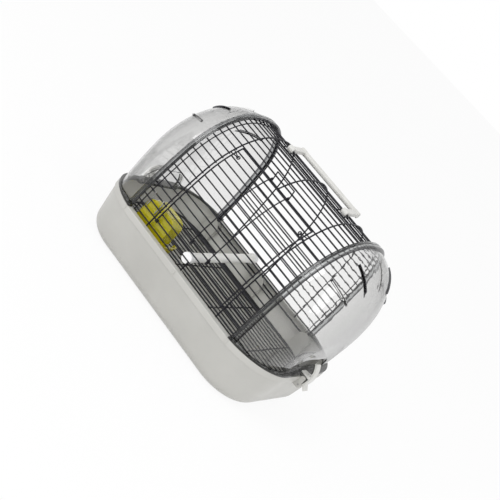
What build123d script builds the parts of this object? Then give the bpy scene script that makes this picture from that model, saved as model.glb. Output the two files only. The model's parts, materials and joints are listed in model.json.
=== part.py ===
"""Bird travel carrier: a plastic tray with a wire vault between two clear end domes.

Millimetres, +Z up, origin at the centre of the tray's underside. +X runs along the length and
the door is on the -Y side. Every sub-part is written as its own STEP file in parts/.
"""
from build123d import *
import math
import os

os.makedirs("parts", exist_ok=True)

# ---------------------------------------------------------------- driving dimensions (mm)
# Tray: plan sizes are half-lengths and half-widths of rounded rectangles
TRAY_HEIGHT = 75.0
RIM_HALF_LENGTH = 187.0
RIM_HALF_WIDTH = 135.0
RIM_CORNER_R = 83.5
RIM_BAND = 9.0             # height of the thick band around the rim
RIM_STEP = 1.0             # the wall below stands back from the band by this
END_DRAFT = 9.6            # how far the end walls lean in from the band to the underside
SIDE_DRAFT = 21.0          # the same for the long walls
FLOOR_CORNER_R = 60.0
TRAY_WALL = 2.2
TRAY_BOTTOM_FILLET = 22.0
RIM_TAB_LENGTH = 2.6       # small raised tabs on the band, one by each arch's foot
RIM_TAB_HEIGHT = 5.6
RIM_TAB_PROUD = 0.8
RIM_LEDGE = 2.0            # thickness of the flat ledges inside the long sides
RIM_LEDGE_GAP = 1.0        # between a ledge's end and the dome's ring

# Sockets for the feet of the wire arches, inside the long walls
SOCKET_WIDTH = 24.0
SOCKET_DEPTH = 30.0
SOCKET_CLEARANCE = 0.5     # around an arch's foot
FOOT_LENGTH = 8.0          # straight foot below the vault's spring line

# Floor grate
GRATE_DROP = 30.0          # grate wires lie this far below the vault's spring line
GRATE_END_GAP = 21.0       # from the rim in to the grate's frame
GRATE_SIDE_GAP = 29.0
GRATE_CORNER_R = 62.0
GRATE_WIRE_D = 2.0
GRATE_FRAME_D = 3.0
GRATE_PITCH = 11.2
GRATE_CROSS_PITCH = 80.0
GRATE_CROSS_COUNT = 4
GRATE_CROSS_SHIFT = -5.0
GRATE_POST_D = 8.0
GRATE_POST_Y = 74.0

# Wire vault: an arch of crown, shoulder and side arcs, sized on the arch wires' centre line
FOOT_INSET = 12.0          # the arches' feet stand this far inside the rim
VAULT_HALF_WIDTH = RIM_HALF_WIDTH - FOOT_INSET
VAULT_HEIGHT = 188.7
CROWN_R = 330.0
CROWN_TURN = 3.0           # degrees from the ridge where the crown arc meets the shoulder
SHOULDER_TURN = 77.3       # degrees from the ridge where the shoulder meets the side
FEET_BELOW_RIM = 1.6
END_ARCH_X = 118.0
DOOR_ARCH_X = 80.6
HOOP_X = 113.2
ARCH_WIRE_D = 2.2
END_ARCH_D = 3.0
HOOP_WIRE_D = 1.6
BAR_WIRE_D = 2.0
WELD = 0.1                 # crossing wires sink into each other by this
FIRST_BAR = 5.3            # run along the arch from the foot to the lowest bar
BAR_PITCH = 11.3
BACK_FIRST_BAR = 6.0       # the back's bars are set out by themselves, a little wider apart
BACK_BAR_PITCH = 11.8
SILL_WIRE_D = 2.8          # thick wires along the feet, inside the arches
SILL_DROP = 6.0            # below the spring line
HINGE_BAR = 1              # bar that the door hangs on, counted from 0 at the rim
LATCH_BAR = 3              # door bar that holds the latch wire
HEAD_BAR = 15              # fixed bar over the door

# Door
DOOR_SIDE_GAP = 2.8        # between the fixed bars' ends and the door's bars
RAIL_GAP = 0.35            # between the door's top rail and the head bar
EYE_CLEARANCE = 0.08
EYE_WALL = 1.6
EYE_WIDTH = 3.0
STOP_WIRE_D = 1.6
STOP_REACH = 12.5
STOP_SPREAD = 6.0
STOP_RING_R = 2.2
STOP_GAP = 0.3             # between the stops and the door's bars

# Latch: one spring wire, two legs on the door and a hook over the head bar
LATCH_WIRE_D = 1.8
LATCH_HALF_WIDTH = 18.0
LATCH_STANDOFF = 0.5
LATCH_TRAVEL = 3.5
LATCH_HOOK_DEPTH = 7.0
LATCH_LIFT_OVER = 2.7
THUMB_ALONG = 9.0
THUMB_OUT = 11.5

# Carrying handle
HANDLE_REACH = 38.0
HANDLE_GRIP_D = 8.4
HANDLE_GRIP_LENGTH = 130.0  # overall, over the outer faces of the legs
HANDLE_LEG_WIDTH = 10.0
HANDLE_LEG_THICKNESS = 6.0
HANDLE_HUB_D = 9.4
HANDLE_ELBOW_D = 9.2        # where the leg takes the grip
HANDLE_EDGE_R = 1.2
HANDLE_AXLE_D = 2.4
HANDLE_AXIS_LIFT = 3.6     # axle above the tops of the two ridge bars, which the hub dips between
HANDLE_GRIP_GAP = 2.5      # between the folded grip and the arch wires
HANDLE_CLEARANCE = 0.08
STAPLE_BEND_SLACK = 0.3    # inner radius of the staple's bends

# End domes: the arch shrinks along a superellipse from the rim to a flat end wall
DOME_START_X = 119.6
DOME_DEPTH = 61.0
DOME_REACH = 0.97
DOME_PLAN_POWER = 3.0
DOME_RISE_POWER = 2.62
DOME_LEAN = 8.0            # degrees that the end wall leans outwards as it rises
DOME_WALL = 2.0
DOME_INSET = 0.2           # dome shell inside the arch wires' centre line
RING_START_X = 115.6
RING_WIDTH = 8.4
RING_GRIP = 0.05           # the ring is pressed over the end arch by this
RING_THICKNESS = 2.4
RING_GROOVE = 0.8
FLANGE_THICKNESS = 3.0
SLIT_START_X = 144.5
SLIT_LENGTH = 26.5
SLIT_WIDTH = 1.6
SLIT_AXIS_HEIGHT = 95.0
SLIT_ANGLES = (0.0, 35.0, 62.0)
LOUVRE_THICKNESS = 1.4     # raised lip along each slit
LOUVRE_HEIGHT = 1.9
VENT_HOLE_R = 1.5
VENT_HOLE_BACK = 4.0       # from the slits' ends
VENT_HOLE_SIDE = 7.4
POCKET_HALF_WIDTH = 50.0
POCKET_SIDE_HEIGHT = 3.0   # straight sides above the flange, below the round shoulders
POCKET_CORNER_R = 24.0
POCKET_DEPTH = 5.8

# Side clips
CLIP_HALF_WIDTH = 6.7
CLIP_PIVOT_OUT = 5.0       # pivot beyond the rim's end
CLIP_PIVOT_DROP = 11.0     # pivot below the rim's top
CLIP_HUB_R = 4.2
CLIP_PIN_D = 3.0
CLIP_PIN_CLEARANCE = 0.05
CLIP_HEIGHT = 37.6         # tip above the pivot
CLIP_PLATE = 2.8
CLIP_OUT = 6.6             # outer face beyond the pivot at its widest
CLIP_BELLY_HEIGHT = 20.0   # where the outer face is widest, above the pivot
CLIP_TIP_IN = 2.0          # tip's outer edge behind the pivot
CLIP_NOSE_GAP = 0.4
CLIP_NOSE = 11.0           # reach of the hook inwards from the pivot
CLIP_TAIL_OUT = 11.6
CLIP_TAIL_DROP = 2.4
CLIP_TAIL_RISE = 6.4       # where the tail leaves the strap, above the pivot
LUG_THICKNESS = 3.2
LUG_GAP = 0.6
LUG_R = 4.6
LUG_RISE = 13.6            # guard above the pivot
LUG_ROUND = 2.2

# Perch
PERCH_D = 13.4
PERCH_FRONT_X = -7.0
PERCH_BACK_X = -30.2
PERCH_ABOVE_BAR = 1.7
PERCH_CAP_D = 15.8
PERCH_CAP_LENGTH = 12.0
PERCH_SLOT_GAP = 0.15
PERCH_RIM_GAP = 0.5           # a cap that hangs lower than this above the rim is cut flat below
PERCH_ARCH_GAP = 0.3

# Seed cup with a hood
CUP_CENTRE_X = -79.0
CUP_LENGTH = 66.0
CUP_DEPTH = 50.0
CUP_FLOOR_GAP = 1.0        # above the grate
CUP_LIP_HEIGHT = 24.0
CUP_CORNER_R = 14.0
CUP_TAPER = 5.0
CUP_WALL = 1.8
HOOD_LENGTH = 54.0
HOOD_SHIFT = -1.5
HOOD_DEPTH = 27.0
HOOD_HEIGHT = 61.0
HOOD_CORNER_R = 13.0
CUP_HOOK_D = 1.8
CUP_HOOK_SPACING = 18.0
CUP_HOOK_SHIFT = -17.0
CUP_HOOK_BAR = 3
CUP_HOOK_GAP = 0.15
CUP_HOOK_BEND_R = 1.5

# ---------------------------------------------------------------- derived places
FEET_Z = TRAY_HEIGHT - FEET_BELOW_RIM
BAR_INSET = (ARCH_WIRE_D + BAR_WIRE_D) / 2 - WELD   # bars lie inside the arches
END_ARCH_OUT = (END_ARCH_D - ARCH_WIRE_D) / 2        # the thicker end arches stand further out
RING_GAP = END_ARCH_OUT + END_ARCH_D / 2 - RING_GRIP
GRATE_HALF_LENGTH = RIM_HALF_LENGTH - GRATE_END_GAP
GRATE_HALF_WIDTH = RIM_HALF_WIDTH - GRATE_SIDE_GAP
SKIRT_Z = TRAY_HEIGHT - RIM_BAND
SILL_Y = VAULT_HALF_WIDTH - (ARCH_WIRE_D + SILL_WIRE_D) / 2 + WELD
SILL_Z = FEET_Z - SILL_DROP
GRATE_Z = FEET_Z - GRATE_DROP


def arch_arcs(half_width, height):
    """Arcs of an arch from its front foot over the ridge to its back foot.

    Each is (centre y, centre z, radius, start angle, end angle), with angles in degrees
    from +Y towards +Z, and z from the spring line.
    """
    crown_r = CROWN_R * half_width / VAULT_HALF_WIDTH
    sin1, cos1 = math.sin(math.radians(CROWN_TURN)), math.cos(math.radians(CROWN_TURN))
    sin2, cos2 = math.sin(math.radians(SHOULDER_TURN)), math.cos(math.radians(SHOULDER_TURN))
    across = half_width - crown_r * sin1
    down = height - crown_r * (1 - cos1)
    det = (sin2 - sin1) * cos2 - (1 - sin2) * (cos1 - cos2)
    shoulder_r = (across * cos2 - (1 - sin2) * down) / det
    side_r = ((sin2 - sin1) * down - (cos1 - cos2) * across) / det
    crown_z = height - crown_r
    shoulder_y = (crown_r - shoulder_r) * sin1
    shoulder_z = crown_z + (crown_r - shoulder_r) * cos1
    side_y = shoulder_y + (shoulder_r - side_r) * sin2
    side_z = shoulder_z + (shoulder_r - side_r) * cos2
    turn1, turn2 = CROWN_TURN, SHOULDER_TURN
    return [
        (-side_y, side_z, side_r, 180, 90 + turn2),
        (-shoulder_y, shoulder_z, shoulder_r, 90 + turn2, 90 + turn1),
        (0.0, crown_z, crown_r, 90 + turn1, 90 - turn1),
        (shoulder_y, shoulder_z, shoulder_r, 90 - turn1, 90 - turn2),
        (side_y, side_z, side_r, 90 - turn2, 0),
    ]


VAULT_ARCS = arch_arcs(VAULT_HALF_WIDTH, VAULT_HEIGHT)
VAULT_RUN = sum(radius * math.radians(start - end) for _, _, radius, start, end in VAULT_ARCS)
HALF_RUN = VAULT_RUN / 2
LAST_BAR = round((HALF_RUN - FIRST_BAR) / BAR_PITCH - 0.5)
BAR_STEP = (HALF_RUN - FIRST_BAR) / (LAST_BAR + 0.5)   # the top two bars straddle the ridge
LAST_BACK_BAR = round((HALF_RUN - BACK_FIRST_BAR) / BACK_BAR_PITCH - 0.5)
BACK_BAR_STEP = (HALF_RUN - BACK_FIRST_BAR) / (LAST_BACK_BAR + 0.5)


def bar_run(index, back=False):
    """Run along the arch from its foot to a bar, on the front or the back half."""
    if back:
        return BACK_FIRST_BAR + BACK_BAR_STEP * index
    return FIRST_BAR + BAR_STEP * index


def vault_frame(run):
    """Centre-line point (y, z) at a run from the front foot, and its outward normal."""
    for centre_y, centre_z, radius, start, end in VAULT_ARCS:
        length = radius * math.radians(start - end)
        if run <= length or end == 0:
            angle = math.radians(start) - run / radius
            normal = (math.cos(angle), math.sin(angle))
            point = (centre_y + radius * normal[0], FEET_Z + centre_z + radius * normal[1])
            return point, normal
        run -= length


def vault_point(run, inward=0.0, back=False):
    """Point (y, z) inside the arch's centre line, on the front or the back half."""
    (y, z), (normal_y, normal_z) = vault_frame(run)
    y -= inward * normal_y
    z -= inward * normal_z
    return (-y if back else y, z)


HINGE_Y, HINGE_Z = vault_point(bar_run(HINGE_BAR), BAR_INSET)
HEAD_Y, HEAD_Z = vault_point(bar_run(HEAD_BAR), BAR_INSET)
LATCH_BAR_Y, LATCH_BAR_Z = vault_point(bar_run(LATCH_BAR), BAR_INSET)
RAIL_RUN = bar_run(HEAD_BAR) - BAR_WIRE_D - RAIL_GAP
FIXED_BAR_END = DOOR_ARCH_X - ARCH_WIRE_D / 2
DOOR_BAR_END = FIXED_BAR_END - DOOR_SIDE_GAP
UPRIGHT_X = DOOR_BAR_END - ARCH_WIRE_D / 2
CLIP_PIVOT_X = RIM_HALF_LENGTH + CLIP_PIVOT_OUT
CLIP_PIVOT_Z = TRAY_HEIGHT - CLIP_PIVOT_DROP
RIDGE_BAR_TOP = FEET_Z + VAULT_HEIGHT - BAR_INSET + BAR_WIRE_D / 2
HANDLE_AXIS_Z = RIDGE_BAR_TOP + HANDLE_AXIS_LIFT
HANDLE_FOOT_X = (HANDLE_GRIP_LENGTH - HANDLE_LEG_WIDTH) / 2


def grip_place():
    """Folded grip's centre (y, z): at the handle's reach, just clear of the shoulder arc."""
    shoulder_y, shoulder_z, shoulder_r = VAULT_ARCS[3][:3]
    lift = shoulder_r + ARCH_WIRE_D / 2 + HANDLE_GRIP_GAP + HANDLE_GRIP_D / 2
    to_axis_y = -shoulder_y
    to_axis_z = HANDLE_AXIS_Z - FEET_Z - shoulder_z
    distance = math.hypot(to_axis_y, to_axis_z)
    turn = math.acos((distance ** 2 + lift ** 2 - HANDLE_REACH ** 2) / (2 * distance * lift))
    angle = math.atan2(to_axis_z, to_axis_y) - turn
    return (shoulder_y + lift * math.cos(angle), FEET_Z + shoulder_z + lift * math.sin(angle))


GRIP_Y, GRIP_Z = grip_place()


# ---------------------------------------------------------------- shared shapes
def plan(half_length, half_width, corner_r, z):
    """Rounded rectangle on a level plane."""
    with BuildSketch(Plane.XY.offset(z)) as outline:
        RectangleRounded(2 * half_length, 2 * half_width, corner_r)
    return outline.sketch


def rod(start, end, diameter, round_ends=True):
    """Straight round rod between two points, added to the part being built."""
    start, end = Vector(*start), Vector(*end)
    with BuildSketch(Plane(start, z_dir=end - start)) as section:
        Circle(diameter / 2)
    extrude(section.sketch, amount=(end - start).length)
    if round_ends:
        with Locations(start, end):
            Sphere(diameter / 2)


def arch_plane(x, lean=0.0):
    """Cross plane at x, from the spring line up, that leans towards +X by an angle in radians."""
    return Plane(origin=(x, 0, FEET_Z), x_dir=(0, 1, 0), z_dir=(math.cos(lean), 0, -math.sin(lean)))


def arch_wire(x, run_from, run_to, diameter, inward=0.0, feet=(0.0, 0.0)):
    """Wire along the arch at x between two runs, with straight feet below either end."""
    with BuildLine(arch_plane(x)) as path:
        if feet[0]:
            y = -VAULT_HALF_WIDTH + inward
            Line((y, -feet[0]), (y, 0))
        before = 0.0
        for centre_y, centre_z, radius, start, end in VAULT_ARCS:
            length = radius * math.radians(start - end)
            first = max(run_from - before, 0.0)
            last = min(run_to - before, length)
            if last - first > 0.001:
                turn_first = start - math.degrees(first / radius)
                turn_last = start - math.degrees(last / radius)
                CenterArc((centre_y, centre_z), radius - inward, turn_first, turn_last - turn_first)
            before += length
        if feet[1]:
            y = VAULT_HALF_WIDTH - inward
            Line((y, 0), (y, -feet[1]))
    wire = path.wires()[0]
    with BuildSketch(Plane(wire @ 0, z_dir=wire % 0)) as section:
        Circle(diameter / 2)
    sweep(sections=section.sketch, path=wire)


def bars(indices, x_from, x_to, back=False):
    """Straight bars along X on the inside of the arches."""
    for index in indices:
        y, z = vault_point(bar_run(index, back), BAR_INSET, back)
        rod((x_from, y, z), (x_to, y, z), BAR_WIRE_D, round_ends=False)


def arch_face(x, half_width, height, outward=0.0, lean=0.0):
    """Closed arch outline across X, its foot line on the spring line."""
    arcs = arch_arcs(half_width, height)
    with BuildSketch(arch_plane(x, lean)) as section:
        with BuildLine():
            for centre_y, centre_z, radius, start, end in arcs:
                CenterArc((centre_y, centre_z), radius + outward, start, end - start)
            foot = half_width + outward
            Line((foot, 0), (-foot, 0))
        make_face()
    return section.sketch


# ================================================================ tray
WALL_HALF_LENGTH = RIM_HALF_LENGTH - RIM_STEP
WALL_HALF_WIDTH = RIM_HALF_WIDTH - RIM_STEP
WALL_CORNER_R = RIM_CORNER_R - RIM_STEP

with BuildPart() as tray_hull:
    loft(sections=[
        plan(WALL_HALF_LENGTH - END_DRAFT, WALL_HALF_WIDTH - SIDE_DRAFT, FLOOR_CORNER_R, 0),
        plan(WALL_HALF_LENGTH, WALL_HALF_WIDTH, WALL_CORNER_R, SKIRT_Z)])
    fillet(tray_hull.edges().group_by(Axis.Z)[0], radius=TRAY_BOTTOM_FILLET)
    extrude(plan(RIM_HALF_LENGTH, RIM_HALF_WIDTH, RIM_CORNER_R, SKIRT_Z), amount=RIM_BAND)
    fillet(tray_hull.edges().group_by(Axis.Z)[-1], radius=TRAY_WALL / 2)

with BuildPart() as tray_core:
    loft(sections=[
        plan(WALL_HALF_LENGTH - END_DRAFT - TRAY_WALL, WALL_HALF_WIDTH - SIDE_DRAFT - TRAY_WALL,
             FLOOR_CORNER_R - TRAY_WALL, TRAY_WALL),
        plan(WALL_HALF_LENGTH - TRAY_WALL, WALL_HALF_WIDTH - TRAY_WALL,
             WALL_CORNER_R - TRAY_WALL, SKIRT_Z)])
    fillet(tray_core.edges().group_by(Axis.Z)[0], radius=TRAY_BOTTOM_FILLET - TRAY_WALL)
    extrude(plan(WALL_HALF_LENGTH - TRAY_WALL, WALL_HALF_WIDTH - TRAY_WALL,
                 WALL_CORNER_R - TRAY_WALL, SKIRT_Z), amount=RIM_BAND)

socket_places = [(x, side) for x in (-END_ARCH_X, 0.0, END_ARCH_X) for side in (-1, 1)]
CHANNEL_INNER_Y = SILL_Y - SILL_WIRE_D / 2 - SOCKET_CLEARANCE
CHANNEL_OUTER_Y = VAULT_HALF_WIDTH + END_ARCH_OUT + END_ARCH_D / 2 + SOCKET_CLEARANCE
SOCKET_INNER_Y = CHANNEL_INNER_Y - TRAY_WALL / 2

# Round-topped tongues on the long walls and posts under the grate, cut to the cavity
with BuildPart() as tray_inserts:
    for x, side in socket_places:
        with BuildSketch(Plane(origin=(x, side * SOCKET_INNER_Y, FEET_Z), x_dir=(1, 0, 0),
                               z_dir=(0, side, 0))) as tongue:
            up = -side             # local Y of this plane points down on the back wall
            with Locations((0, up * -SOCKET_WIDTH / 2)):
                Circle(SOCKET_WIDTH / 2)
            with Locations((0, up * -(SOCKET_WIDTH + SOCKET_DEPTH) / 2)):
                Rectangle(SOCKET_WIDTH, SOCKET_DEPTH)
        extrude(tongue.sketch, amount=RIM_HALF_WIDTH - SOCKET_INNER_Y)
    GRATE_CROSS_Z = GRATE_Z - GRATE_WIRE_D + WELD
    cross_x = [GRATE_CROSS_SHIFT + (i - (GRATE_CROSS_COUNT - 1) / 2) * GRATE_CROSS_PITCH
               for i in range(GRATE_CROSS_COUNT)]
    for x in (cross_x[0], cross_x[-1]):
        for y in (-GRATE_POST_Y, GRATE_POST_Y):
            with BuildSketch(Plane.XY) as post:
                with Locations((x, y)):
                    Circle(GRATE_POST_D / 2)
            extrude(post.sketch, amount=GRATE_CROSS_Z - GRATE_WIRE_D / 2)
    add(tray_core.part, mode=Mode.INTERSECT)

with BuildPart() as rim_tabs:
    extrude(plan(RIM_HALF_LENGTH + RIM_TAB_PROUD, RIM_HALF_WIDTH + RIM_TAB_PROUD, RIM_CORNER_R + RIM_TAB_PROUD,
                 TRAY_HEIGHT - (RIM_BAND + RIM_TAB_HEIGHT) / 2), amount=RIM_TAB_HEIGHT)
    with BuildSketch(Plane.XY) as tab_strips:
        with Locations(*[(x, 0) for x in (-END_ARCH_X, 0, END_ARCH_X)]):
            Rectangle(RIM_TAB_LENGTH, 4 * RIM_HALF_WIDTH)
    extrude(tab_strips.sketch, amount=2 * TRAY_HEIGHT, mode=Mode.INTERSECT)
    add(tray_core.part, mode=Mode.SUBTRACT)

# Flat ledges along the long sides carry the rim in to the arches' feet
with BuildPart() as rim_ledges:
    ledge_width = RIM_HALF_WIDTH - TRAY_WALL - CHANNEL_OUTER_Y
    with BuildSketch(Plane.XY.offset(TRAY_HEIGHT - RIM_LEDGE)) as ledges:
        with Locations(*[(0, side * (CHANNEL_OUTER_Y + ledge_width / 2)) for side in (-1, 1)]):
            Rectangle(2 * (RING_START_X - RIM_LEDGE_GAP), ledge_width)
    extrude(ledges.sketch, amount=RIM_LEDGE)

with BuildPart() as base_tray:
    add(tray_hull.part)
    add(tray_core.part, mode=Mode.SUBTRACT)
    add(tray_inserts.part)
    # Channels behind the tongues take the sill wires
    for side in (-1, 1):
        with Locations((0, side * (CHANNEL_INNER_Y + CHANNEL_OUTER_Y) / 2,
                        SILL_Z - SILL_WIRE_D / 2 - SOCKET_CLEARANCE)):
            Box(2 * END_ARCH_X + SOCKET_WIDTH, CHANNEL_OUTER_Y - CHANNEL_INNER_Y, TRAY_HEIGHT,
                align=(Align.CENTER, Align.CENTER, Align.MIN), mode=Mode.SUBTRACT)
    add(rim_tabs.part)
    add(rim_ledges.part)
    for x, side in socket_places:
        foot_d = END_ARCH_D if x else ARCH_WIRE_D
        foot_y = VAULT_HALF_WIDTH + (foot_d - ARCH_WIRE_D) / 2
        with Locations((x, side * foot_y, FEET_Z - FOOT_LENGTH - TRAY_WALL)):
            Cylinder(foot_d / 2 + SOCKET_CLEARANCE, FOOT_LENGTH + TRAY_WALL + RIM_BAND,
                     align=(Align.CENTER, Align.CENTER, Align.MIN), mode=Mode.SUBTRACT)
    # Two lugs at each end carry the clip's pin
    for end in (-1, 1):
        for side in (-1, 1):
            lug_y = side * (CLIP_HALF_WIDTH + LUG_GAP + LUG_THICKNESS / 2)
            wall_x = WALL_HALF_LENGTH - TRAY_WALL / 2
            guard_in = RIM_HALF_LENGTH + CLIP_NOSE_GAP
            guard_out = CLIP_PIVOT_X + LUG_R / 2
            guard_top = CLIP_PIVOT_Z + LUG_RISE
            band_top = TRAY_HEIGHT - TRAY_WALL / 2
            with BuildSketch(Plane.XZ.offset(-lug_y - LUG_THICKNESS / 2)) as lug:
                with BuildLine():
                    Polyline(*[(end * x, z) for x, z in (
                        (wall_x, CLIP_PIVOT_Z - LUG_R), (CLIP_PIVOT_X, CLIP_PIVOT_Z - LUG_R),
                        (guard_out, CLIP_PIVOT_Z), (guard_out, guard_top), (guard_in, guard_top),
                        (guard_in, band_top), (wall_x, band_top))], close=True)
                make_face()
                fillet(lug.vertices().group_by(Axis.Y)[-1], radius=LUG_ROUND)
                with Locations((end * CLIP_PIVOT_X, CLIP_PIVOT_Z)):
                    Circle(LUG_R)
                    Circle(CLIP_PIN_D / 2, mode=Mode.SUBTRACT)
            extrude(lug.sketch, amount=LUG_THICKNESS)
base_tray.part.label = "base_tray"
export_step(base_tray.part, "parts/base_tray.step")

# ================================================================ floor grate
with BuildPart() as grate_frame:
    with BuildLine(Plane.XY.offset(GRATE_Z)) as grate_path:
        with BuildSketch(Plane.XY.offset(GRATE_Z), mode=Mode.PRIVATE) as grate_plan:
            RectangleRounded(2 * GRATE_HALF_LENGTH, 2 * GRATE_HALF_WIDTH, GRATE_CORNER_R)
        add(grate_plan.sketch.face().outer_wire())
    grate_loop = grate_path.wires()[0]
    with BuildSketch(Plane(grate_loop @ 0, z_dir=grate_loop % 0)) as grate_section:
        Circle(GRATE_FRAME_D / 2)
    sweep(sections=grate_section.sketch, path=grate_loop)
grate_frame.part.label = "grate_frame"
export_step(grate_frame.part, "parts/grate_frame.step")


def grate_reach(across, half_along, half_across):
    """Half-length of a grate wire at a distance across from the middle, to the frame's line."""
    into_corner = across - (half_across - GRATE_CORNER_R)
    if into_corner <= 0:
        return half_along
    return half_along - GRATE_CORNER_R + math.sqrt(GRATE_CORNER_R ** 2 - into_corner ** 2)


with BuildPart() as grate_wires:
    grate_side_count = int((GRATE_HALF_WIDTH - GRATE_FRAME_D) / GRATE_PITCH)
    for i in range(-grate_side_count, grate_side_count + 1):
        y = i * GRATE_PITCH
        reach = grate_reach(abs(y), GRATE_HALF_LENGTH, GRATE_HALF_WIDTH) - GRATE_FRAME_D / 2 + WELD
        rod((-reach, y, GRATE_Z), (reach, y, GRATE_Z), GRATE_WIRE_D, round_ends=False)
grate_wires.part.label = "grate_wires"
export_step(grate_wires.part, "parts/grate_wires.step")

with BuildPart() as grate_cross_wires:
    for x in cross_x:
        reach = grate_reach(abs(x), GRATE_HALF_WIDTH, GRATE_HALF_LENGTH)
        rod((x, -reach, GRATE_CROSS_Z), (x, reach, GRATE_CROSS_Z), GRATE_WIRE_D, round_ends=False)
grate_cross_wires.part.label = "grate_cross_wires"
export_step(grate_cross_wires.part, "parts/grate_cross_wires.step")

# ================================================================ wire vault
for name, x in (("end_arch_left", -END_ARCH_X), ("end_arch_right", END_ARCH_X)):
    with BuildPart() as end_arch:
        arch_wire(x, 0, VAULT_RUN, END_ARCH_D, inward=-END_ARCH_OUT, feet=(FOOT_LENGTH, FOOT_LENGTH))
    end_arch.part.label = name
    export_step(end_arch.part, f"parts/{name}.step")

HOOP_INSET = BAR_INSET + (BAR_WIRE_D + HOOP_WIRE_D) / 2 - WELD
for name, x in (("end_hoop_left", -HOOP_X), ("end_hoop_right", HOOP_X)):
    with BuildPart() as end_hoop:
        arch_wire(x, 0, VAULT_RUN, HOOP_WIRE_D, inward=HOOP_INSET)
    end_hoop.part.label = name
    export_step(end_hoop.part, f"parts/{name}.step")

for name, x in (("door_arch_left", -DOOR_ARCH_X), ("door_arch_right", DOOR_ARCH_X)):
    with BuildPart() as door_arch:
        arch_wire(x, 0, VAULT_RUN, ARCH_WIRE_D)
    door_arch.part.label = name
    export_step(door_arch.part, f"parts/{name}.step")

# The centre arch stops at the bar over the door, and a short stub carries on below the door
with BuildPart() as centre_arch:
    arch_wire(0, bar_run(HEAD_BAR), VAULT_RUN, ARCH_WIRE_D, feet=(0, FOOT_LENGTH))
centre_arch.part.label = "centre_arch"
export_step(centre_arch.part, "parts/centre_arch.step")

with BuildPart() as centre_stub:
    arch_wire(0, 0, bar_run(HINGE_BAR), ARCH_WIRE_D, feet=(FOOT_LENGTH, 0))
centre_stub.part.label = "centre_stub"
export_step(centre_stub.part, "parts/centre_stub.step")

bar_groups = {
    "sill_bars": (range(0, HINGE_BAR + 1), -END_ARCH_X, END_ARCH_X, False),
    "front_bars_left": (range(HINGE_BAR + 1, HEAD_BAR), -END_ARCH_X, -FIXED_BAR_END, False),
    "front_bars_right": (range(HINGE_BAR + 1, HEAD_BAR), FIXED_BAR_END, END_ARCH_X, False),
    "roof_bars": (range(HEAD_BAR, LAST_BAR + 1), -END_ARCH_X, END_ARCH_X, False),
    "back_bars": (range(0, LAST_BACK_BAR + 1), -END_ARCH_X, END_ARCH_X, True),
}
for name, (indices, x_from, x_to, on_back) in bar_groups.items():
    with BuildPart() as bar_group:
        bars(indices, x_from, x_to, on_back)
    bar_group.part.label = name
    export_step(bar_group.part, f"parts/{name}.step")

with BuildPart() as sill_wires:
    for side in (-1, 1):
        rod((-END_ARCH_X, side * SILL_Y, SILL_Z), (END_ARCH_X, side * SILL_Y, SILL_Z), SILL_WIRE_D,
            round_ends=False)
sill_wires.part.label = "sill_wires"
export_step(sill_wires.part, "parts/sill_wires.step")

# Wire vees with a ring at the tip, inside the door's corners, keep it from being pushed inwards
with BuildPart() as door_stops:
    stop_run = (bar_run(HEAD_BAR - 2) + bar_run(HEAD_BAR - 1)) / 2
    stop_inset = (ARCH_WIRE_D + STOP_WIRE_D) / 2 - WELD
    tip_inset = (ARCH_WIRE_D + STOP_WIRE_D) / 2 + STOP_GAP
    for end in (-1, 1):
        tip_y, tip_z = vault_point(stop_run, tip_inset)
        tip = (end * (DOOR_ARCH_X - STOP_REACH), tip_y, tip_z)
        for spread in (-STOP_SPREAD / 2, STOP_SPREAD / 2):
            root_y, root_z = vault_point(stop_run + spread, stop_inset)
            rod((end * DOOR_ARCH_X, root_y, root_z), tip, STOP_WIRE_D)
        tip_normal = vault_frame(stop_run)[1]
        with Locations(Plane(origin=tip, z_dir=(0, *tip_normal))):
            Torus(STOP_RING_R, STOP_WIRE_D / 2)
door_stops.part.label = "door_stops"
export_step(door_stops.part, "parts/door_stops.step")

# ================================================================ door
with BuildPart() as door_frame:
    eye_r = BAR_WIRE_D / 2 + EYE_CLEARANCE + EYE_WALL
    for end in (-1, 1):
        arch_wire(end * UPRIGHT_X, bar_run(HINGE_BAR) + BAR_WIRE_D / 2, RAIL_RUN, ARCH_WIRE_D)
        rod((end * UPRIGHT_X - EYE_WIDTH / 2, HINGE_Y, HINGE_Z),
            (end * UPRIGHT_X + EYE_WIDTH / 2, HINGE_Y, HINGE_Z), 2 * eye_r, round_ends=False)
    rail_y, rail_z = vault_point(RAIL_RUN, BAR_INSET)
    rod((-UPRIGHT_X, rail_y, rail_z), (UPRIGHT_X, rail_y, rail_z), BAR_WIRE_D + WELD, round_ends=False)
    with BuildSketch(Plane.YZ.offset(-RIM_HALF_LENGTH)) as eye_hole:
        with Locations((HINGE_Y, HINGE_Z)):
            Circle(BAR_WIRE_D / 2 + EYE_CLEARANCE)
    extrude(eye_hole.sketch, amount=2 * RIM_HALF_LENGTH, mode=Mode.SUBTRACT)
door_frame.part.label = "door_frame"
export_step(door_frame.part, "parts/door_frame.step")

with BuildPart() as door_bars:
    bars(range(HINGE_BAR + 1, HEAD_BAR), -DOOR_BAR_END, DOOR_BAR_END)
door_bars.part.label = "door_bars"
export_step(door_bars.part, "parts/door_bars.step")


# ================================================================ latch
def head_point(along, out):
    """Point (y, z) from the head bar's centre, along the vault to the ridge and outwards."""
    normal_y, normal_z = vault_frame(bar_run(HEAD_BAR))[1]
    return (HEAD_Y + along * normal_z + out * normal_y, HEAD_Z - along * normal_y + out * normal_z)


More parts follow.
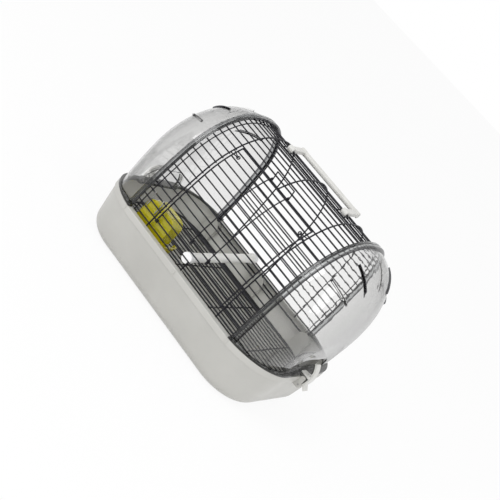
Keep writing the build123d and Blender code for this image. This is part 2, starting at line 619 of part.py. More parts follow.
with BuildPart() as latch_wire:
    leg_inset = BAR_INSET - (BAR_WIRE_D + LATCH_WIRE_D) / 2 - LATCH_STANDOFF
    leg_start = bar_run(LATCH_BAR) - LATCH_WIRE_D
    hook = [head_point(0, BAR_INSET - leg_inset), head_point(LATCH_LIFT_OVER, LATCH_WIRE_D),
            head_point(LATCH_LIFT_OVER + WELD, -LATCH_HOOK_DEPTH), head_point(THUMB_ALONG, THUMB_OUT)]
    slot_r = BAR_WIRE_D / 2 + LATCH_STANDOFF / 2
    for end in (-1, 1):
        x = end * LATCH_HALF_WIDTH
        arch_wire(x, leg_start, bar_run(HEAD_BAR), LATCH_WIRE_D, inward=leg_inset)
        for (y1, z1), (y2, z2) in zip(hook, hook[1:]):
            rod((x, y1, z1), (x, y2, z2), LATCH_WIRE_D)
        # Long eye around a door bar: the bar runs down the slot as the latch lifts
        with BuildSketch(Plane.YZ.offset(x - LATCH_WIRE_D / 2)) as eye:
            with Locations((LATCH_BAR_Y, LATCH_BAR_Z - LATCH_TRAVEL / 2)):
                SlotCenterToCenter(LATCH_TRAVEL, 2 * (slot_r + LATCH_WIRE_D), rotation=90)
                SlotCenterToCenter(LATCH_TRAVEL, 2 * slot_r, rotation=90, mode=Mode.SUBTRACT)
        extrude(eye.sketch, amount=LATCH_WIRE_D)
    thumb_y, thumb_z = hook[-1]
    rod((-LATCH_HALF_WIDTH, thumb_y, thumb_z), (LATCH_HALF_WIDTH, thumb_y, thumb_z), LATCH_WIRE_D)
latch_wire.part.label = "latch_wire"
export_step(latch_wire.part, "parts/latch_wire.step")

# ================================================================ handle
with BuildPart() as handle_leg:
    leg_turn = math.degrees(math.atan2(GRIP_Z - HANDLE_AXIS_Z, GRIP_Y))
    with BuildSketch(Plane.YZ.offset(HANDLE_FOOT_X - HANDLE_LEG_WIDTH / 2)) as leg:
        with Locations((GRIP_Y / 2, (GRIP_Z + HANDLE_AXIS_Z) / 2)):
            Rectangle(HANDLE_REACH, HANDLE_LEG_THICKNESS, rotation=leg_turn)
        with Locations((0, HANDLE_AXIS_Z)):
            Circle(HANDLE_HUB_D / 2)
        with Locations((GRIP_Y, GRIP_Z)):
            Circle(HANDLE_ELBOW_D / 2)
    extrude(leg.sketch, amount=HANDLE_LEG_WIDTH)
    side_edges = handle_leg.edges().group_by(Axis.X)
    fillet(side_edges[0] + side_edges[-1], radius=HANDLE_EDGE_R)
    with Locations(Location((HANDLE_FOOT_X, 0, HANDLE_AXIS_Z), (0, 90, 0))):
        Cylinder(HANDLE_AXLE_D / 2 + HANDLE_CLEARANCE, 2 * HANDLE_LEG_WIDTH, mode=Mode.SUBTRACT)

with BuildPart() as handle:
    rod((-HANDLE_FOOT_X, GRIP_Y, GRIP_Z), (HANDLE_FOOT_X, GRIP_Y, GRIP_Z), HANDLE_GRIP_D, round_ends=False)
    add(handle_leg.part)
    add(mirror(handle_leg.part, about=Plane.YZ))
handle.part.label = "handle"
export_step(handle.part, "parts/handle.step")

# Wire staples on the ridge bars are the handle's axles
STAPLE_BEND_R = HANDLE_AXLE_D / 2 + STAPLE_BEND_SLACK
STAPLE_HALF_WIDTH = HANDLE_LEG_WIDTH / 2 + STAPLE_BEND_R + HANDLE_AXLE_D / 4
for name, end in (("handle_staple_left", -1), ("handle_staple_right", 1)):
    with BuildPart() as staple:
        ridge_y = -vault_point(bar_run(LAST_BAR), BAR_INSET)[0]
        foot_z = vault_point(bar_run(LAST_BAR), BAR_INSET)[1] + BAR_WIRE_D - WELD
        ends = [end * HANDLE_FOOT_X - STAPLE_HALF_WIDTH, end * HANDLE_FOOT_X + STAPLE_HALF_WIDTH]
        with BuildLine(Plane.XZ) as bend:
            FilletPolyline((ends[0], foot_z), (ends[0], HANDLE_AXIS_Z), (ends[1], HANDLE_AXIS_Z),
                           (ends[1], foot_z), radius=STAPLE_BEND_R)
        bend_wire = bend.wires()[0]
        with BuildSketch(Plane(bend_wire @ 0, z_dir=bend_wire % 0)) as bend_section:
            Circle(HANDLE_AXLE_D / 2)
        sweep(sections=bend_section.sketch, path=bend_wire)
        for x in ends:
            rod((x, -ridge_y - BAR_WIRE_D, foot_z), (x, ridge_y + BAR_WIRE_D, foot_z), BAR_WIRE_D,
                round_ends=False)
    staple.part.label = name
    export_step(staple.part, f"parts/{name}.step")


# ================================================================ end domes
def dome_loft(wall):
    """Sections of the dome's outer face, or of its inner face one wall inside."""
    sections = []
    for reach in (0.0, 0.3, 0.52, 0.7, 0.84, 0.93, DOME_REACH):
        half_width = VAULT_HALF_WIDTH - DOME_INSET - wall
        height = VAULT_HEIGHT - DOME_INSET - wall
        half_width *= (1 - reach ** DOME_PLAN_POWER) ** (1 / DOME_PLAN_POWER)
        height *= (1 - reach ** DOME_RISE_POWER) ** (1 / DOME_RISE_POWER)
        x = DOME_START_X + (DOME_DEPTH - wall / DOME_REACH) * reach
        lean = math.atan(math.tan(math.radians(DOME_LEAN)) * reach ** 2)
        sections.append(arch_face(x, half_width, height, lean=lean))
    loft(sections=sections)


DOME_END_X = DOME_START_X + DOME_DEPTH * DOME_REACH
POCKET_X = DOME_END_X - POCKET_DEPTH
FLANGE_TOP = TRAY_HEIGHT + FLANGE_THICKNESS
RING_STEP_X = DOME_START_X + DOME_INSET


def pocket_prism(x, bottom_z, wall):
    """Round-shouldered prism from x outwards, for the clip's pocket or the wall around it."""
    half_width = POCKET_HALF_WIDTH + wall
    top_z = FLANGE_TOP + POCKET_SIDE_HEIGHT + POCKET_CORNER_R + wall
    with BuildSketch(Plane.YZ.offset(x)) as outline:
        with BuildLine():
            corner = POCKET_CORNER_R + wall
            Polyline((-half_width, top_z - corner), (-half_width, bottom_z), (half_width, bottom_z),
                     (half_width, top_z - corner))
            RadiusArc((half_width, top_z - corner), (half_width - corner, top_z), -corner)
            Line((half_width - corner, top_z), (corner - half_width, top_z))
            RadiusArc((corner - half_width, top_z), (-half_width, top_z - corner), -corner)
        make_face()
    extrude(outline.sketch, amount=RIM_HALF_LENGTH)


with BuildPart() as dome_hull:
    dome_loft(0.0)

with BuildPart() as dome_core:
    dome_loft(DOME_WALL)

slit_turns = sorted({-turn for turn in SLIT_ANGLES} | set(SLIT_ANGLES))
slit_middle = (SLIT_START_X + SLIT_LENGTH / 2, 0, FEET_Z + SLIT_AXIS_HEIGHT)

with BuildPart() as dome_louvres:
    for turn in slit_turns:
        upper = -1 if turn < 0 else 1      # the lip runs along the slit's upper side
        with Locations(Location(slit_middle, (turn, 0, 0))):
            with Locations((0, upper * (SLIT_WIDTH + LOUVRE_THICKNESS) / 2, 0)):
                Box(SLIT_LENGTH + 2 * LOUVRE_THICKNESS, LOUVRE_THICKNESS, VAULT_HEIGHT,
                    align=(Align.CENTER, Align.CENTER, Align.MIN))

with BuildPart() as louvre_reach:
    dome_loft(-LOUVRE_HEIGHT)
    add(dome_louvres.part, mode=Mode.INTERSECT)
    add(dome_core.part, mode=Mode.SUBTRACT)

with BuildPart() as clip_pocket:
    pocket_prism(POCKET_X, FLANGE_TOP, 0.0)

with BuildPart() as pocket_wall:
    pocket_prism(POCKET_X - DOME_WALL, FEET_Z, DOME_WALL)
    add(dome_hull.part, mode=Mode.INTERSECT)
    add(clip_pocket.part, mode=Mode.SUBTRACT)

with BuildPart() as dome_flange:
    extrude(plan(RIM_HALF_LENGTH, RIM_HALF_WIDTH, RIM_CORNER_R, TRAY_HEIGHT), amount=FLANGE_THICKNESS)
    split(bisect_by=Plane.YZ.offset(RING_START_X), keep=Keep.TOP)
    extrude(arch_face(RING_START_X, VAULT_HALF_WIDTH, VAULT_HEIGHT, RING_GAP),
            amount=RING_STEP_X - RING_START_X, mode=Mode.SUBTRACT)
    add(dome_core.part, mode=Mode.SUBTRACT)

with BuildPart() as dome_right:
    add(dome_hull.part)
    extrude(arch_face(RING_STEP_X, VAULT_HALF_WIDTH, VAULT_HEIGHT, RING_GAP + RING_THICKNESS),
            amount=RING_START_X + RING_WIDTH - RING_STEP_X)
    add(dome_core.part, mode=Mode.SUBTRACT)
    add(clip_pocket.part, mode=Mode.SUBTRACT)
    add(pocket_wall.part)
    ring = (arch_face(RING_START_X, VAULT_HALF_WIDTH, VAULT_HEIGHT, RING_GAP + RING_THICKNESS)
            - arch_face(RING_START_X, VAULT_HALF_WIDTH, VAULT_HEIGHT, RING_GAP))
    extrude(ring, amount=RING_STEP_X - RING_START_X)
    groove = (arch_face(RING_STEP_X - RING_GROOVE, VAULT_HALF_WIDTH, VAULT_HEIGHT, RIM_BAND)
              - arch_face(RING_STEP_X - RING_GROOVE, VAULT_HALF_WIDTH, VAULT_HEIGHT,
                          RING_GAP + RING_THICKNESS - RING_GROOVE))
    extrude(groove, amount=2 * RING_GROOVE, mode=Mode.SUBTRACT)
    split(bisect_by=Plane.XY.offset(TRAY_HEIGHT), keep=Keep.TOP)
    add(dome_flange.part)
    add(louvre_reach.part)
    for turn in slit_turns:
        with Locations(Location(slit_middle, (turn, 0, 0))):
            Box(SLIT_LENGTH, SLIT_WIDTH, VAULT_HEIGHT, align=(Align.CENTER, Align.CENTER, Align.MIN),
                mode=Mode.SUBTRACT)
    with Locations((SLIT_START_X + SLIT_LENGTH - VENT_HOLE_BACK, -VENT_HOLE_SIDE, FEET_Z + SLIT_AXIS_HEIGHT)):
        Cylinder(VENT_HOLE_R, VAULT_HEIGHT, align=(Align.CENTER, Align.CENTER, Align.MIN), mode=Mode.SUBTRACT)
dome_right.part.label = "dome_right"
export_step(dome_right.part, "parts/dome_right.step")

with BuildPart() as dome_left:
    add(mirror(dome_right.part, about=Plane.YZ))
dome_left.part.label = "dome_left"
export_step(dome_left.part, "parts/dome_left.step")

# ================================================================ side clips
with BuildPart() as clip_right:
    nose_z = FLANGE_TOP + CLIP_NOSE_GAP
    foot_x = CLIP_PIVOT_X + CLIP_HUB_R
    belly_x = CLIP_PIVOT_X + CLIP_OUT
    belly_z = CLIP_PIVOT_Z + CLIP_BELLY_HEIGHT
    tip_x = CLIP_PIVOT_X - CLIP_TIP_IN
    tip_z = CLIP_PIVOT_Z + CLIP_HEIGHT
    tip_lean = math.atan2(tip_z - belly_z, belly_x - tip_x)     # strap's rise towards its tip
    inner_tip = (tip_x - CLIP_PLATE * math.sin(tip_lean), tip_z - CLIP_PLATE * math.cos(tip_lean))
    with BuildSketch(Plane.XZ) as clip_side:
        with BuildLine():
            ThreePointArc((foot_x, CLIP_PIVOT_Z), (belly_x, belly_z), (tip_x, tip_z))
            Line((tip_x, tip_z), inner_tip)
            ThreePointArc(inner_tip, (belly_x - CLIP_PLATE, belly_z), (foot_x - CLIP_PLATE, CLIP_PIVOT_Z))
            Line((foot_x - CLIP_PLATE, CLIP_PIVOT_Z), (foot_x, CLIP_PIVOT_Z))
        make_face()
        with BuildLine():
            Polyline((belly_x - CLIP_PLATE / 2, nose_z), (CLIP_PIVOT_X - CLIP_NOSE, nose_z),
                     (CLIP_PIVOT_X - CLIP_NOSE, nose_z + CLIP_PLATE / 2),
                     (belly_x - CLIP_PLATE / 2, nose_z + 1.5 * CLIP_PLATE), close=True)
        make_face()
        with Locations((CLIP_PIVOT_X, CLIP_PIVOT_Z)):
            Circle(CLIP_HUB_R)
        with BuildLine():
            tail_x, tail_z = CLIP_PIVOT_X + CLIP_TAIL_OUT, CLIP_PIVOT_Z - CLIP_TAIL_DROP
            Polyline((foot_x, CLIP_PIVOT_Z + CLIP_TAIL_RISE), (tail_x, tail_z + CLIP_PLATE / 2),
                     (tail_x - CLIP_PLATE / 2, tail_z), (foot_x - CLIP_PLATE / 2, CLIP_PIVOT_Z + CLIP_TAIL_RISE - CLIP_PLATE),
                     close=True)
        make_face()
    extrude(clip_side.sketch, amount=CLIP_HALF_WIDTH, both=True)
    with Locations(Location((CLIP_PIVOT_X, 0, CLIP_PIVOT_Z), (90, 0, 0))):
        Cylinder(CLIP_PIN_D / 2 + CLIP_PIN_CLEARANCE, 4 * CLIP_HALF_WIDTH, mode=Mode.SUBTRACT)
clip_right.part.label = "clip_right"
export_step(clip_right.part, "parts/clip_right.step")

with BuildPart() as clip_left:
    add(mirror(clip_right.part, about=Plane.YZ))
clip_left.part.label = "clip_left"
export_step(clip_left.part, "parts/clip_left.step")

for name, end in (("clip_pin_left", -1), ("clip_pin_right", 1)):
    with BuildPart() as clip_pin:
        half_pin = CLIP_HALF_WIDTH + LUG_GAP + LUG_THICKNESS
        rod((end * CLIP_PIVOT_X, -half_pin, CLIP_PIVOT_Z), (end * CLIP_PIVOT_X, half_pin, CLIP_PIVOT_Z),
            CLIP_PIN_D, round_ends=False)
    clip_pin.part.label = name
    export_step(clip_pin.part, f"parts/{name}.step")

# ================================================================ perch
PERCH_Z = HINGE_Z + PERCH_ABOVE_BAR
PERCH_END_Y = VAULT_HALF_WIDTH - ARCH_WIRE_D / 2 - PERCH_ARCH_GAP
PERCH_BACK_BAR = vault_point(bar_run(0, back=True), BAR_INSET, back=True)   # it slopes to the back
perch_front = Vector(PERCH_FRONT_X, HINGE_Y, PERCH_Z)
perch_back = Vector(PERCH_BACK_X, PERCH_BACK_BAR[0], PERCH_BACK_BAR[1] + PERCH_ABOVE_BAR)
perch_way = (perch_back - perch_front).normalized()

with BuildPart() as perch_rod:
    rod(perch_front + perch_way * PERCH_CAP_LENGTH, perch_back - perch_way * PERCH_CAP_LENGTH,
        PERCH_D, round_ends=False)
perch_rod.part.label = "perch_rod"
export_step(perch_rod.part, "parts/perch_rod.step")

for name, end, way, side, (bar_y, bar_z) in (
        ("perch_cap_front", perch_front, perch_way, -1, (HINGE_Y, HINGE_Z)),
        ("perch_cap_back", perch_back, perch_way * -1, 1, PERCH_BACK_BAR)):
    with BuildPart() as perch_cap:
        rod(end - way * PERCH_CAP_LENGTH, end + way * PERCH_CAP_LENGTH, PERCH_CAP_D, round_ends=False)
        split(bisect_by=Plane(origin=(0, side * PERCH_END_Y, 0), z_dir=(0, -side, 0)), keep=Keep.TOP)
        split(bisect_by=Plane.XY.offset(TRAY_HEIGHT + PERCH_RIM_GAP), keep=Keep.TOP)
        slot_half = BAR_WIRE_D / 2 + PERCH_SLOT_GAP
        with Locations((end.X, side * PERCH_END_Y, bar_z)):
            Box(2 * PERCH_CAP_D, 2 * (PERCH_END_Y - abs(bar_y) + slot_half), 2 * slot_half, mode=Mode.SUBTRACT)
    perch_cap.part.label = name
    export_step(perch_cap.part, f"parts/{name}.step")

# ================================================================ seed cup
# The cup hangs from one of the fixed bars, its hooks' shanks running up the hood's front face
HOOK_Y, HOOK_Z = vault_point(bar_run(CUP_HOOK_BAR), BAR_INSET)
HOOK_REACH = (BAR_WIRE_D + CUP_HOOK_D) / 2 + CUP_HOOK_GAP
CUP_FRONT_Y = HOOK_Y + HOOK_REACH + CUP_HOOK_D / 2 - WELD
CUP_MIDDLE_Y = CUP_FRONT_Y + CUP_DEPTH / 2
CUP_FLOOR_Z = GRATE_Z + GRATE_WIRE_D / 2 + CUP_FLOOR_GAP
CUP_LIP_Z = CUP_FLOOR_Z + CUP_LIP_HEIGHT
HOOD_TOP_Z = CUP_FLOOR_Z + HOOD_HEIGHT
HOOD_X = CUP_CENTRE_X + HOOD_SHIFT


def cup_plan(z, inset):
    """Rounded plan of the cup's dish at a level, set in by a wall or a taper."""
    with BuildSketch(Plane.XY.offset(z)) as dish:
        with Locations((CUP_CENTRE_X, CUP_MIDDLE_Y)):
            RectangleRounded(CUP_LENGTH - 2 * inset, CUP_DEPTH - 2 * inset, CUP_CORNER_R - inset / 2)
    return dish.sketch


def hood_side(inset):
    """Hood's round-shouldered outline seen from the front."""
    half_length = HOOD_LENGTH / 2 - inset
    top_z = HOOD_TOP_Z - inset
    corner = HOOD_CORNER_R - inset
    with BuildSketch(Plane.XZ.offset(-CUP_FRONT_Y - inset)) as outline:
        with BuildLine():
            left, right = HOOD_X - half_length, HOOD_X + half_length
            Polyline((left, top_z - corner), (left, CUP_FLOOR_Z + CUP_HALF_DISH), (right, CUP_FLOOR_Z + CUP_HALF_DISH),
                     (right, top_z - corner))
            RadiusArc((right, top_z - corner), (right - corner, top_z), -corner)
            Line((right - corner, top_z), (left + corner, top_z))
            RadiusArc((left + corner, top_z), (left, top_z - corner), -corner)
        make_face()
    return outline.sketch


CUP_HALF_DISH = CUP_LIP_HEIGHT / 2

with BuildPart() as seed_cup:
    loft(sections=[cup_plan(CUP_FLOOR_Z, CUP_TAPER), cup_plan(CUP_LIP_Z, 0.0)])
    extrude(hood_side(0.0), amount=-HOOD_DEPTH)
    loft(sections=[cup_plan(CUP_FLOOR_Z + CUP_WALL, CUP_TAPER + CUP_WALL),
                   cup_plan(CUP_LIP_Z + WELD, CUP_WALL)], mode=Mode.SUBTRACT)
    extrude(hood_side(CUP_WALL), amount=-CUP_DEPTH, mode=Mode.SUBTRACT)
seed_cup.part.label = "seed_cup"
export_step(seed_cup.part, "parts/seed_cup.step")

with BuildPart() as cup_hooks:
    for side in (-1, 1):
        x = CUP_CENTRE_X + CUP_HOOK_SHIFT + side * CUP_HOOK_SPACING / 2
        with BuildLine(Plane.YZ.offset(x)) as hook_bend:
            FilletPolyline((HOOK_Y + HOOK_REACH, HOOD_TOP_Z - HOOD_CORNER_R - HOOK_REACH),
                           (HOOK_Y + HOOK_REACH, HOOK_Z + HOOK_REACH),
                           (HOOK_Y - HOOK_REACH, HOOK_Z + HOOK_REACH),
                           (HOOK_Y - HOOK_REACH, HOOK_Z), radius=CUP_HOOK_BEND_R)
        hook_line = hook_bend.wires()[0]
        with BuildSketch(Plane(hook_line @ 0, z_dir=hook_line % 0)) as hook_section:
            Circle(CUP_HOOK_D / 2)
        sweep(sections=hook_section.sketch, path=hook_line)
cup_hooks.part.label = "cup_hooks"
export_step(cup_hooks.part, "parts/cup_hooks.step")
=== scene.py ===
"""Bird travel carrier: materials, fine surface detail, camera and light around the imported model."""
import json
import math
import bpy
from mathutils import Matrix, Vector

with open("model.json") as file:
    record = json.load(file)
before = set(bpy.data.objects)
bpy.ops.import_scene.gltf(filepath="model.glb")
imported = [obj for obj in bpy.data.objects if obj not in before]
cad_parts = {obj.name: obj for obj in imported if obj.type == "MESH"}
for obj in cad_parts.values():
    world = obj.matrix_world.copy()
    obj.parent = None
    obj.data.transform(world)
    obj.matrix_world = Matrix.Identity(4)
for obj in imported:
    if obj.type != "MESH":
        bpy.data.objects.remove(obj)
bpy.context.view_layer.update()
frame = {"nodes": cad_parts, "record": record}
scene = bpy.context.scene
scene.view_settings.view_transform = "Standard"
nodes = frame["nodes"]

# ---------------------------------------------------------------- measures, in metres and degrees
AZIMUTH, ELEVATION, ROLL = math.radians(20.93), math.radians(17.66), math.radians(45.0)
DISTANCE, TARGET = 1.541, Vector((0.00204, 0.0, 0.126))
SENSOR_MM, FOCAL_PIXELS, FRAME_PIXELS, FAR_CLIP = 36.0, 1101.0, 500.0, 50.0

RING, RING_SHADE_HALF = (0.1156, 0.1240), 0.0011       # the dome ring's reach along X, half a painted dark edge line
VENT = (0.1425, 0.1730)                          # the vent slits' reach along X
VENT_AXIS, VENT_TURNS = 0.1684, (35, -35, 62, -62)   # height of the line they turn about, and their turns
VENT_SHADE_HALF, VENT_RISE = 0.0016, 0.02               # half a painted dark strip of shade along each slit, and where the slits' planes start
# top of the dome's flange; below it the dome is painted near black as shade
FLANGE_TOP = 0.0784
DOME_TOP = 0.4                                   # any height above the dome
RIDGE_PITCH, RIDGE_DEPTH = 0.0026, 0.0005        # the perch's fine rings

CLOUD_SPAN = (0.3, 0.7)                          # where a noise's values mostly lie
IOR_PLASTIC, IOR_CLEAR = 1.5, 1.49
COAT_ROUGHNESS = 0.15
WIRE_SPECULAR = 0.3
TURNED_FALLOFF = 1.5                             # how late the painted shade on a turned-away dome wall sets in

FLOOR_HALF, FLOOR_WHITE, FLOOR_GLOW = 6.0, 0.9, 0.90
WORLD_STRENGTH = 0.75
LAMPS = (("key", (-0.7, -1.6, 1.5), (1.3, 1.3), 17.0),     # name, place, size, watts
         ("fill", (1.7, -0.9, 0.9), (1.0, 1.4), 9.0))

# ---------------------------------------------------------------- camera
right = Vector((math.cos(AZIMUTH), math.sin(AZIMUTH), 0.0))
up = Vector((-math.sin(AZIMUTH) * math.sin(ELEVATION), math.cos(AZIMUTH) * math.sin(ELEVATION),
             math.cos(ELEVATION)))
back = right.cross(up)
camera_data = bpy.data.cameras.new("camera")
camera_data.sensor_width = SENSOR_MM
camera_data.lens = FOCAL_PIXELS / FRAME_PIXELS * SENSOR_MM
camera_data.clip_end = FAR_CLIP
camera = bpy.data.objects.new("camera", camera_data)
scene.collection.objects.link(camera)
rolled_right = right * math.cos(ROLL) + up * math.sin(ROLL)
rolled_up = up * math.cos(ROLL) - right * math.sin(ROLL)
turn = Matrix((rolled_right, rolled_up, back)).transposed().to_4x4()
camera.matrix_world = Matrix.Translation(TARGET + back * DISTANCE) @ turn
scene.camera = camera


# ---------------------------------------------------------------- node helpers
def add(tree, kind, **inputs):
    """New node, with inputs set to values or fed from sockets; _ in a name stands for a space."""
    made = tree.nodes.new(kind)
    for name, value in inputs.items():
        feed(tree, made.inputs[name.replace("_", " ")], value)
    return made


def feed(tree, target, value):
    """Sets an input to a number or a colour, or links it to a socket."""
    if isinstance(value, bpy.types.NodeSocket):
        tree.links.new(value, target)
    elif isinstance(value, tuple):
        target.default_value = (*value, 1)
    else:
        target.default_value = value


def inside(material):
    """A material's node tree, its shader and its object coordinates."""
    tree = material.node_tree
    shader = next(n for n in tree.nodes if n.type == "BSDF_PRINCIPLED")
    place = next(n for n in tree.nodes if n.type == "TEX_COORD").outputs["Object"]
    return tree, shader, place


def new_material(name):
    """Material with its shader and object coordinates, and what inside() gives for it."""
    material = bpy.data.materials.new(name)
    material.use_nodes = True
    material.node_tree.nodes.new("ShaderNodeTexCoord")
    return material, *inside(material)


def noise(tree, place, scale, detail=3.0):
    return add(tree, "ShaderNodeTexNoise", Vector=place, Scale=scale, Detail=detail, Roughness=0.55).outputs["Fac"]


def spread(tree, value, low, high):
    """Maps a noise to a range of numbers."""
    return add(tree, "ShaderNodeMapRange", Value=value, From_Min=CLOUD_SPAN[0], From_Max=CLOUD_SPAN[1],
               To_Min=low, To_Max=high).outputs["Result"]


def tinted(tree, value, dark, light):
    """Colours a noise between two tints."""
    made = add(tree, "ShaderNodeValToRGB", Fac=value)
    for element, position, colour in zip(made.color_ramp.elements, CLOUD_SPAN, (dark, light)):
        element.position = position
        element.color = (*colour, 1)
    return made.outputs["Color"]


def bumped(tree, shader, height, distance, strength=1.0, after=None):
    """Adds relief to a shader, on top of an earlier relief where one is given."""
    made = add(tree, "ShaderNodeBump", Height=height, Distance=distance, Strength=strength)
    if after is not None:
        tree.links.new(after, made.inputs["Normal"])
    tree.links.new(made.outputs["Normal"], shader.inputs["Normal"])
    return made.outputs["Normal"]


def math_node(tree, operation, *values):
    """Result of a maths node fed with numbers or sockets."""
    made = tree.nodes.new("ShaderNodeMath")
    made.operation = operation
    for slot, value in enumerate(values):
        feed(tree, made.inputs[slot], value)
    return made.outputs["Value"]


def within(tree, value, low, high, soft):
    """1 where a value lies between two numbers, with soft edges."""
    middle, half = (low + high) / 2, (high - low) / 2
    away = math_node(tree, "ABSOLUTE", math_node(tree, "SUBTRACT", value, middle))
    return add(tree, "ShaderNodeMapRange", Value=away, From_Min=half + soft, From_Max=half - soft).outputs["Result"]


def blended(tree, below, colour, amount):
    """A colour or a colour socket mixed towards another by a 0-1 socket."""
    made = tree.nodes.new("ShaderNodeMix")
    made.data_type = "RGBA"
    for target, value in zip([i for i in made.inputs if i.type == "RGBA"], (below, colour)):
        feed(tree, target, value)
    tree.links.new(amount, next(i for i in made.inputs if i.type == "VALUE"))
    return next(o for o in made.outputs if o.type == "RGBA")


def mixed(tree, output, share, first, second):
    """Feeds an output with two shader sockets, mixed by a 0-1 socket."""
    mix = add(tree, "ShaderNodeMixShader", Fac=share)
    tree.links.new(first, mix.inputs[1])
    tree.links.new(second, mix.inputs[2])
    tree.links.new(mix.outputs["Shader"], output.inputs["Surface"])


def seen_ray(tree):
    """1 for a ray from the camera, or one that glass or gloss sends on, and 0 for light."""
    rays = tree.nodes.new("ShaderNodeLightPath")
    total = rays.outputs["Is Camera Ray"]
    for name in ("Is Glossy Ray", "Is Transmission Ray"):
        total = math_node(tree, "MAXIMUM", total, rays.outputs[name])
    return total


# ---------------------------------------------------------------- kinds of material
def plastic(name, dark, light, rough, cloud=14.0, coat=0.0):
    """Moulded opaque plastic: faint clouding, spark-eroded grain and slow flow waviness."""
    material, tree, shader, place = new_material(name)
    cloudy = noise(tree, place, cloud, 4.0)
    fine = noise(tree, place, 1800.0, 2.0)
    tree.links.new(tinted(tree, cloudy, dark, light), shader.inputs["Base Color"])
    tree.links.new(spread(tree, noise(tree, place, cloud * 6), *rough), shader.inputs["Roughness"])
    wavy = bumped(tree, shader, cloudy, 0.0004, strength=0.25)
    bumped(tree, shader, fine, 0.00002, after=wavy)
    shader.inputs["IOR"].default_value = IOR_PLASTIC
    shader.inputs["Coat Weight"].default_value = coat
    shader.inputs["Coat Roughness"].default_value = COAT_ROUGHNESS
    return material


def clear(name, colour, rough, lamp_tint, wave, through=1.0, deep=None, density=0.0):
    """Clear moulded plastic that lets the lamps through, and may take its colour in depth."""
    material, tree, shader, place = new_material(name)
    shader.inputs["Base Color"].default_value = (*colour, 1)
    shader.inputs["Transmission Weight"].default_value = through
    shader.inputs["IOR"].default_value = IOR_CLEAR
    tree.links.new(spread(tree, noise(tree, place, 45.0), *rough), shader.inputs["Roughness"])
    bumped(tree, shader, noise(tree, place, 16.0, 2.0), wave)
    lamps = add(tree, "ShaderNodeBsdfTransparent", Color=lamp_tint)
    rays = tree.nodes.new("ShaderNodeLightPath")
    output = next(n for n in tree.nodes if n.type == "OUTPUT_MATERIAL")
    mixed(tree, output, rays.outputs["Is Shadow Ray"], shader.outputs["BSDF"], lamps.outputs["BSDF"])
    if deep:
        absorb = add(tree, "ShaderNodeVolumeAbsorption", Color=deep, Density=density)
        tree.links.new(absorb.outputs["Volume"], output.inputs["Volume"])
    return material


def coated_wire(name, dark, light, rough, specular=None, metallic=0.0):
    """Steel wire under a dipped coating: thin sags, uneven sheen and a few dull patches."""
    material, tree, shader, place = new_material(name)
    patches = noise(tree, place, 60.0, 4.0)
    tree.links.new(tinted(tree, patches, dark, light), shader.inputs["Base Color"])
    tree.links.new(spread(tree, noise(tree, place, 220.0), *rough), shader.inputs["Roughness"])
    sags = bumped(tree, shader, noise(tree, place, 320.0, 2.0), 0.00012, strength=0.7)
    bumped(tree, shader, noise(tree, place, 2600.0, 2.0), 0.00001, after=sags)
    shader.inputs["IOR"].default_value = IOR_PLASTIC
    shader.inputs["Metallic"].default_value = metallic
    if specular is not None:
        shader.inputs["Specular IOR Level"].default_value = specular
    return material


def paint_dome_shade(material, body, turned_away_shade):
    """Paints shade and dark reflection into the dome's colour where clear plastic looks dark: turned-away sides,
    ring, vent slits and flange.
    """
    tree, shader, place = inside(material)
    apart = add(tree, "ShaderNodeSeparateXYZ", Vector=place)
    along = math_node(tree, "ABSOLUTE", apart.outputs["X"])
    side, height = apart.outputs["Y"], apart.outputs["Z"]
    # Painted shade and reflection: the dome's colour darkens towards the second colour as its wall turns away from
    # view.
    facing = add(tree, "ShaderNodeLayerWeight", Blend=0.5)
    colour = blended(tree, body, turned_away_shade, math_node(tree, "POWER", facing.outputs["Facing"], TURNED_FALLOFF))
    # Painted shade: a grey band over the clear ring, with near-black lines along its edges.
    colour = blended(tree, colour, (0.50, 0.51, 0.51), within(tree, along, *RING, 0.0002))
    for edge in RING:
        near = within(tree, along, edge - RING_SHADE_HALF, edge + RING_SHADE_HALF, 0.0003)
        colour = blended(tree, colour, (0.10, 0.10, 0.105), near)
    # Painted shade: near-black strips along the vent slits, where the louvres are in shade.
    slit_shade = None
    rise = math_node(tree, "SUBTRACT", height, VENT_AXIS)
    for degrees in VENT_TURNS:
        angle = math.radians(degrees)
        off_plane = math_node(tree, "ADD", math_node(tree, "MULTIPLY", side, math.cos(angle)),
                              math_node(tree, "MULTIPLY", rise, math.sin(angle)))
        near = within(tree, off_plane, -VENT_SHADE_HALF, VENT_SHADE_HALF, 0.0003)
        slit_shade = near if slit_shade is None else math_node(tree, "MAXIMUM", slit_shade, near)
    slit_shade = math_node(tree, "MULTIPLY", slit_shade, within(tree, along, *VENT, 0.0005))
    slit_shade = math_node(tree, "MULTIPLY", slit_shade, within(tree, height, VENT_AXIS + VENT_RISE, DOME_TOP, 0.002))
    colour = blended(tree, colour, (0.004, 0.004, 0.005), slit_shade)
    # Painted shade: the flange below FLANGE_TOP is near black, where its edge-on plastic looks dark.
    colour = blended(tree, colour, (0.035, 0.037, 0.033), within(tree, height, 0.0, FLANGE_TOP, 0.0002))
    tree.links.new(colour, shader.inputs["Base Color"])


def ridged(material, pitch, depth):
    """Fine rings round a rod that runs along Y: shallow grooves, with painted shade darkening their foot."""
    tree, shader, place = inside(material)
    along = add(tree, "ShaderNodeSeparateXYZ", Vector=place).outputs["Y"]
    wave = math_node(tree, "SINE", math_node(tree, "MULTIPLY", along, 2 * math.pi / pitch))
    height = math_node(tree, "MULTIPLY_ADD", wave, 0.5, 0.5)
    # Painted shade: the colour goes towards a darker tint at the foot of each groove.
    groove_shade = math_node(tree, "SUBTRACT", 0.55, math_node(tree, "MULTIPLY", height, 0.9))
    groove_shade = math_node(tree, "MULTIPLY", math_node(tree, "MAXIMUM", groove_shade, 0.0), 0.5)
    below = shader.inputs["Base Color"].links[0].from_socket
    tree.links.new(blended(tree, below, (0.55, 0.54, 0.51), groove_shade), shader.inputs["Base Color"])
    bumped(tree, shader, height, depth, after=shader.inputs["Normal"].links[0].from_socket)


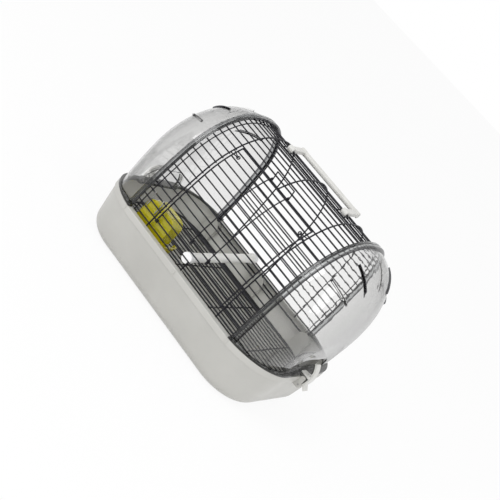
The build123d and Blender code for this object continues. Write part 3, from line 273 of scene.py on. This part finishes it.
# ---------------------------------------------------------------- materials
tray_plastic = plastic("tray_plastic", (0.475, 0.470, 0.444), (0.525, 0.520, 0.493), (0.34, 0.46), coat=0.12)
white_plastic = plastic("white_plastic", (0.62, 0.615, 0.59), (0.70, 0.695, 0.67), (0.3, 0.42), cloud=60.0)
cap_plastic = plastic("cap_plastic", (0.87, 0.87, 0.87), (0.91, 0.91, 0.91), (0.3, 0.4), cloud=60.0)
dome_plastic = clear("dome_plastic", (0.80, 0.80, 0.80), (0.01, 0.035), (0.86, 0.87, 0.86), wave=0.00012)
# Painted shade on the dome: a pale body colour, darkened towards the second colour where its walls turn away.
paint_dome_shade(dome_plastic, (0.90, 0.898, 0.894), (0.20, 0.20, 0.20))
cup_plastic = clear("cup_plastic", (0.80, 0.745, 0.025), (0.06, 0.16), (0.82, 0.76, 0.10), wave=0.0006,
                    through=0.66, deep=(0.9, 0.85, 0.2), density=60.0)
black_wire = coated_wire("black_wire", (0.003, 0.003, 0.006), (0.010, 0.010, 0.016), (0.32, 0.48),
                         specular=WIRE_SPECULAR)
grate_wire = coated_wire("grate_wire", (0.004, 0.004, 0.006), (0.012, 0.012, 0.016), (0.38, 0.54),
                         specular=WIRE_SPECULAR)
steel = coated_wire("steel", (0.30, 0.30, 0.30), (0.42, 0.42, 0.41), (0.25, 0.4), metallic=1.0)
perch_plastic = plastic("perch_plastic", (0.88, 0.875, 0.85), (0.92, 0.915, 0.89), (0.45, 0.6), cloud=90.0)
ridged(perch_plastic, RIDGE_PITCH, RIDGE_DEPTH)

SLOT_MATERIAL = {"tray": tray_plastic, "clear": dome_plastic, "wire": black_wire, "grate_wire": grate_wire,
                 "white": white_plastic, "perch": perch_plastic, "cup": cup_plastic, "steel": steel}
NODE_MATERIAL = {"perch_cap_front": cap_plastic, "perch_cap_back": cap_plastic}
for part in frame["record"]["subparts"]:
    slots = nodes[part["node"]].data.materials
    slots.clear()
    slots.append(NODE_MATERIAL.get(part["node"], SLOT_MATERIAL[part["material_slot"]]))

# ---------------------------------------------------------------- floor
floor_mesh = bpy.data.meshes.new("floor")
floor_mesh.from_pydata([(-FLOOR_HALF, -FLOOR_HALF, 0), (FLOOR_HALF, -FLOOR_HALF, 0),
                        (FLOOR_HALF, FLOOR_HALF, 0), (-FLOOR_HALF, FLOOR_HALF, 0)], [], [(0, 1, 2, 3)])
floor = bpy.data.objects.new("floor", floor_mesh)
scene.collection.objects.link(floor)
floor_material = bpy.data.materials.new("floor")
floor_material.use_nodes = True
tree = floor_material.node_tree
tree.nodes.clear()
matt = add(tree, "ShaderNodeBsdfDiffuse", Color=(FLOOR_WHITE,) * 3)
glow = tree.nodes.new("ShaderNodeEmission")
mixed(tree, tree.nodes.new("ShaderNodeOutputMaterial"), math_node(tree, "MULTIPLY", seen_ray(tree), FLOOR_GLOW),
      matt.outputs["BSDF"], glow.outputs["Emission"])
floor_mesh.materials.append(floor_material)

# ---------------------------------------------------------------- world and lamps
world = bpy.data.worlds.new("world")
scene.world = world
world.use_nodes = True
tree = world.node_tree
tree.nodes.clear()
dim = add(tree, "ShaderNodeBackground", Color=(1, 1, 1), Strength=WORLD_STRENGTH)
bright = add(tree, "ShaderNodeBackground", Color=(1, 1, 1))
mixed(tree, tree.nodes.new("ShaderNodeOutputWorld"), seen_ray(tree),
      dim.outputs["Background"], bright.outputs["Background"])

for name, place, size, watts in LAMPS:
    lamp_data = bpy.data.lights.new(name, "AREA")
    lamp_data.shape = "RECTANGLE"
    lamp_data.size, lamp_data.size_y = size
    lamp_data.energy = watts
    lamp = bpy.data.objects.new(name, lamp_data)
    lamp.location = place
    lamp.rotation_euler = (TARGET - Vector(place)).to_track_quat("-Z", "Y").to_euler()
    scene.collection.objects.link(lamp)
